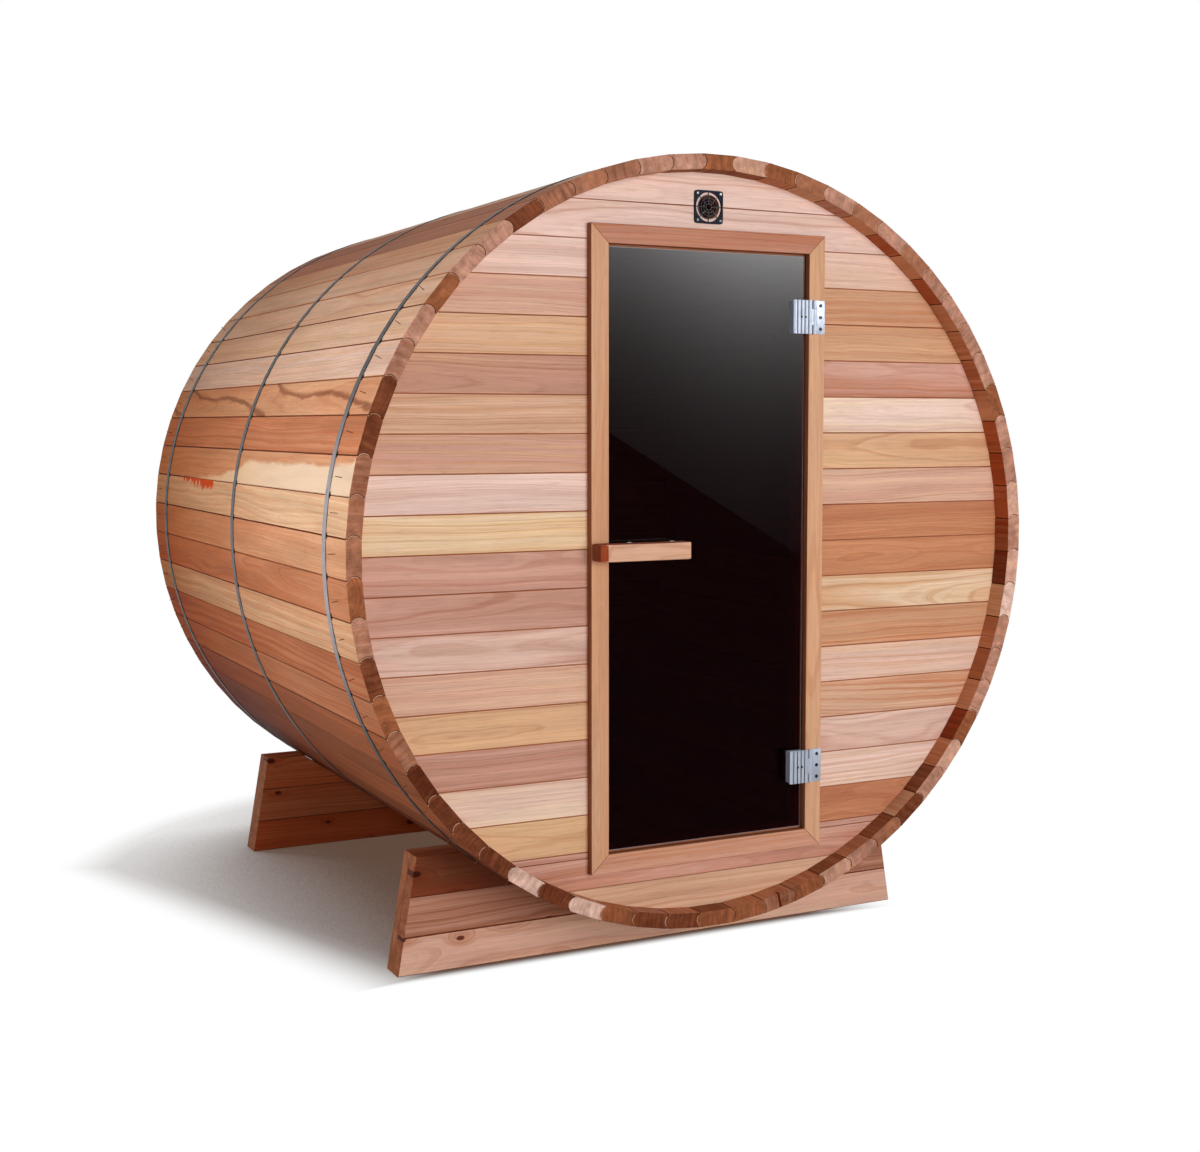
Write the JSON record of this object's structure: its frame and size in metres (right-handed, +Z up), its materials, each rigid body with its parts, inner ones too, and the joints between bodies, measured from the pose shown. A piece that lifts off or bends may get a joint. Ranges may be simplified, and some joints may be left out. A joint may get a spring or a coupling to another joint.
{
  "type": "barrel sauna",
  "caption": "Barrel sauna of bead-and-cove cedar staves held by steel bands, with boarded end walls, a framed tinted glass door on side hinges, a vent and laminated cradles.",
  "frame": {"origin": "on the ground, below the barrel's axis, at the middle of the overall length from the handle to the rear rim", "axes": "+X to the right as seen from the door end, +Y from the door end to the back, +Z up"},
  "size_m": [1.8028, 1.913, 1.9012],
  "materials": {
    "cedar_stave": "planed red cedar, satin, varied from cream to red-brown",
    "cedar_board": "planed red cedar boards, matt, pale pink to honey",
    "cedar_trim": "planed red cedar, satin",
    "cedar_cradle": "planed red cedar with knots, oiled",
    "band_steel": "dull galvanised strip",
    "bolt_steel": "zinc plated",
    "hinge_metal": "satin cast aluminium",
    "tinted_glass": "polished, dark bronze tint",
    "handle_wood": "planed red cedar, oiled",
    "spacer_metal": "polished",
    "vent_plastic": "moulded, matt"
  },
  "bodies": {
    "cabin": {"roof_staves": "cedar_stave", "upper_left_staves": "cedar_stave", "upper_right_staves": "cedar_stave", "side_left_staves": "cedar_stave", "side_right_staves": "cedar_stave", "lower_left_staves": "cedar_stave", "lower_right_staves": "cedar_stave", "floor_staves": "cedar_stave", "front_band": "band_steel", "middle_band": "band_steel", "rear_band": "band_steel", "band_bolts": "bolt_steel", "front_wall_left": "cedar_board", "front_wall_right": "cedar_board", "front_wall_top": "cedar_board", "front_wall_sill": "cedar_board", "rear_wall": "cedar_board", "trim_left": "cedar_trim", "trim_right": "cedar_trim", "trim_top": "cedar_trim", "trim_bottom": "cedar_trim", "lining_left": "cedar_trim", "lining_right": "cedar_trim", "lining_head": "cedar_trim", "lining_threshold": "cedar_trim", "upper_hinge_leaf": "hinge_metal", "lower_hinge_leaf": "hinge_metal", "vent_grille": "vent_plastic", "front_cradle_base": "cedar_cradle", "front_cradle_saddle": "cedar_cradle", "rear_cradle_base": "cedar_cradle", "rear_cradle_saddle": "cedar_cradle"},
    "door": {"upper_hinge_clamp": "hinge_metal", "lower_hinge_clamp": "hinge_metal", "door_glass": "tinted_glass", "door_handle": "handle_wood", "handle_spacers": "spacer_metal"}
  },
  "joints": [
    {"name": "door_hinge", "type": "hinge", "parent": "cabin", "child": "door", "pos_m": [0.28, -0.9085, 0.992], "axis": [0, 0, 1], "range_deg": [0, 120]}
  ]
}
